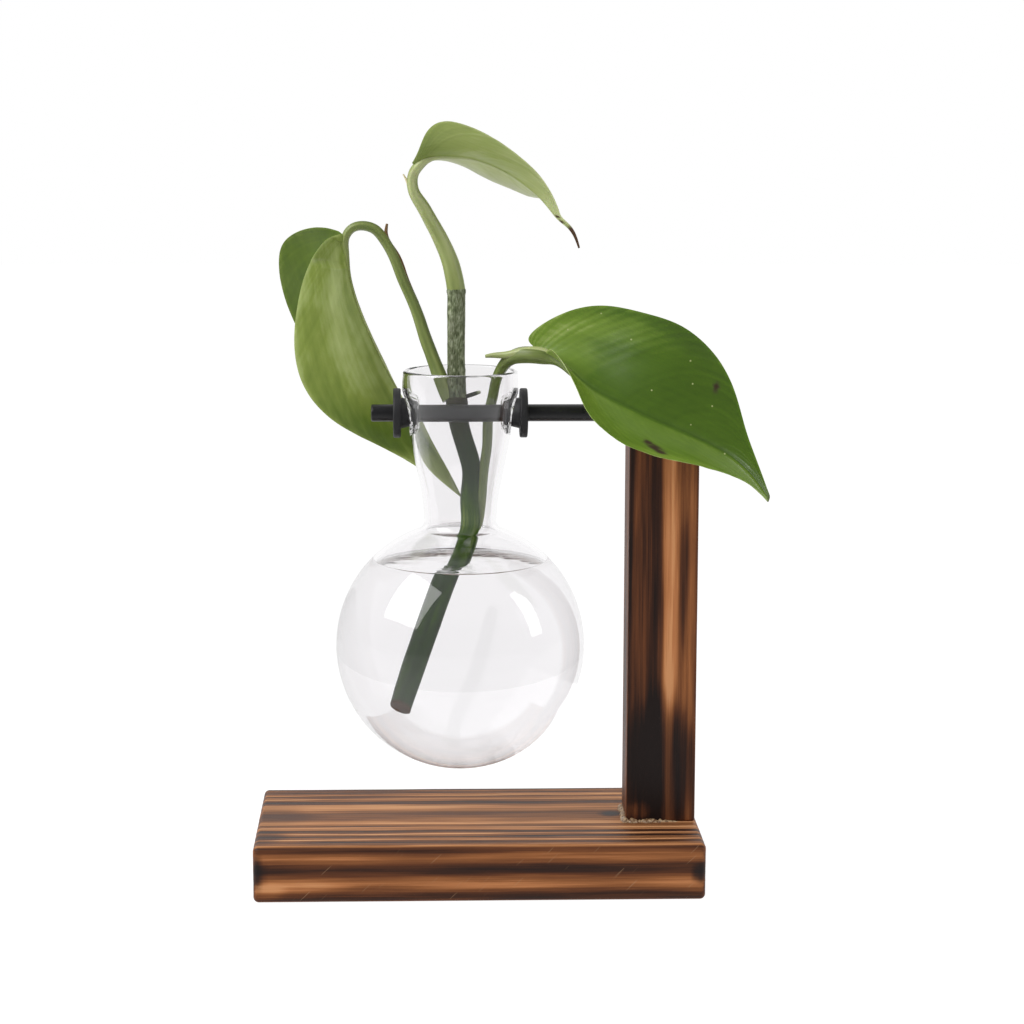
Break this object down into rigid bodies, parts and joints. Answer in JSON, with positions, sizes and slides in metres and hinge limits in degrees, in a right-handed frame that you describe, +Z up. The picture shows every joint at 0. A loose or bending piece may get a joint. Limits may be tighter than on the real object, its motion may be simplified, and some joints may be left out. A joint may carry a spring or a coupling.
{
  "type": "propagation vase on stand",
  "caption": "Globe-shaped glass propagation vase hung by its neck from a black rod on a charred wooden post and base board, with a leafy cutting standing in it.",
  "frame": {"origin": "centre of the base board's underside, on the surface that the stand rests on", "axes": "+Z up; +X from the hanging vase towards the upright post; +Y to the back, away from the viewer"},
  "size_m": [0.1592, 0.0788, 0.2388],
  "materials": {
    "charred_base_wood": "torched and oiled softwood, tan ridges between dark brown grain bands",
    "charred_post_wood": "deeply torched and oiled softwood, nearly black at its middle with brown edges",
    "screw_steel": "zinc-plated",
    "black_rod": "satin black coat",
    "set_glue": "set glue, whitish and slightly bubbly",
    "clear_glass": "clear lamp-worked borosilicate glass, fire-polished rim",
    "black_rubber": "matte black rubber",
    "vine_skin": "smooth dark olive stem skin",
    "vine_bark": "scurfy brown-green bark",
    "dried_root": "dry dark root",
    "green_stalk": "semi-gloss leaf stalk, fine lengthwise ribs",
    "young_leaf": "semi-gloss yellow-green leaf with a withered tip",
    "folded_leaf": "semi-gloss green leaf, paler outside than inside",
    "broad_leaf": "glossy deep green leaf with soft parallel veins",
    "dry_sheath": "papery dry sheath edge"
  },
  "bodies": {
    "stand": {"base_board": "charred_base_wood", "upright_post": "charred_post_wood", "post_screws": "screw_steel", "glue_bead": "set_glue", "hanging_rod": "black_rod"},
    "right_ring": {"rubber_ring_right": "black_rubber"},
    "vase": {"glass_vase": "clear_glass"},
    "left_ring": {"rubber_ring_left": "black_rubber"},
    "cutting": {"vine_stem": "vine_skin", "upper_stem": "vine_bark", "aerial_root": "dried_root", "top_petiole": "green_stalk", "left_petiole": "green_stalk", "right_petiole": "green_stalk", "top_leaf": "young_leaf", "left_leaf": "folded_leaf", "right_leaf": "broad_leaf", "top_sheath": "dry_sheath", "left_sheath": "dry_sheath", "right_sheath": "dry_sheath"}
  },
  "joints": [
    {"name": "slide_along_rod", "type": "slide", "parent": "stand", "child": "right_ring", "axis": [1, 0, 0], "range_m": [-0.058, 0.01]},
    {"name": "vase_swing", "type": "hinge", "parent": "right_ring", "child": "vase", "pos_m": [0, 0, 0.14796], "axis": [1, 0, 0], "range_deg": [-20, 20]},
    {"name": "left_ring_pull", "type": "slide", "parent": "vase", "child": "left_ring", "axis": [-1, 0, 0], "range_m": [0, 0.025]},
    {"name": "cutting_lift", "type": "slide", "parent": "vase", "child": "cutting", "axis": [0, 0, 1], "range_m": [0, 0.008]}
  ]
}
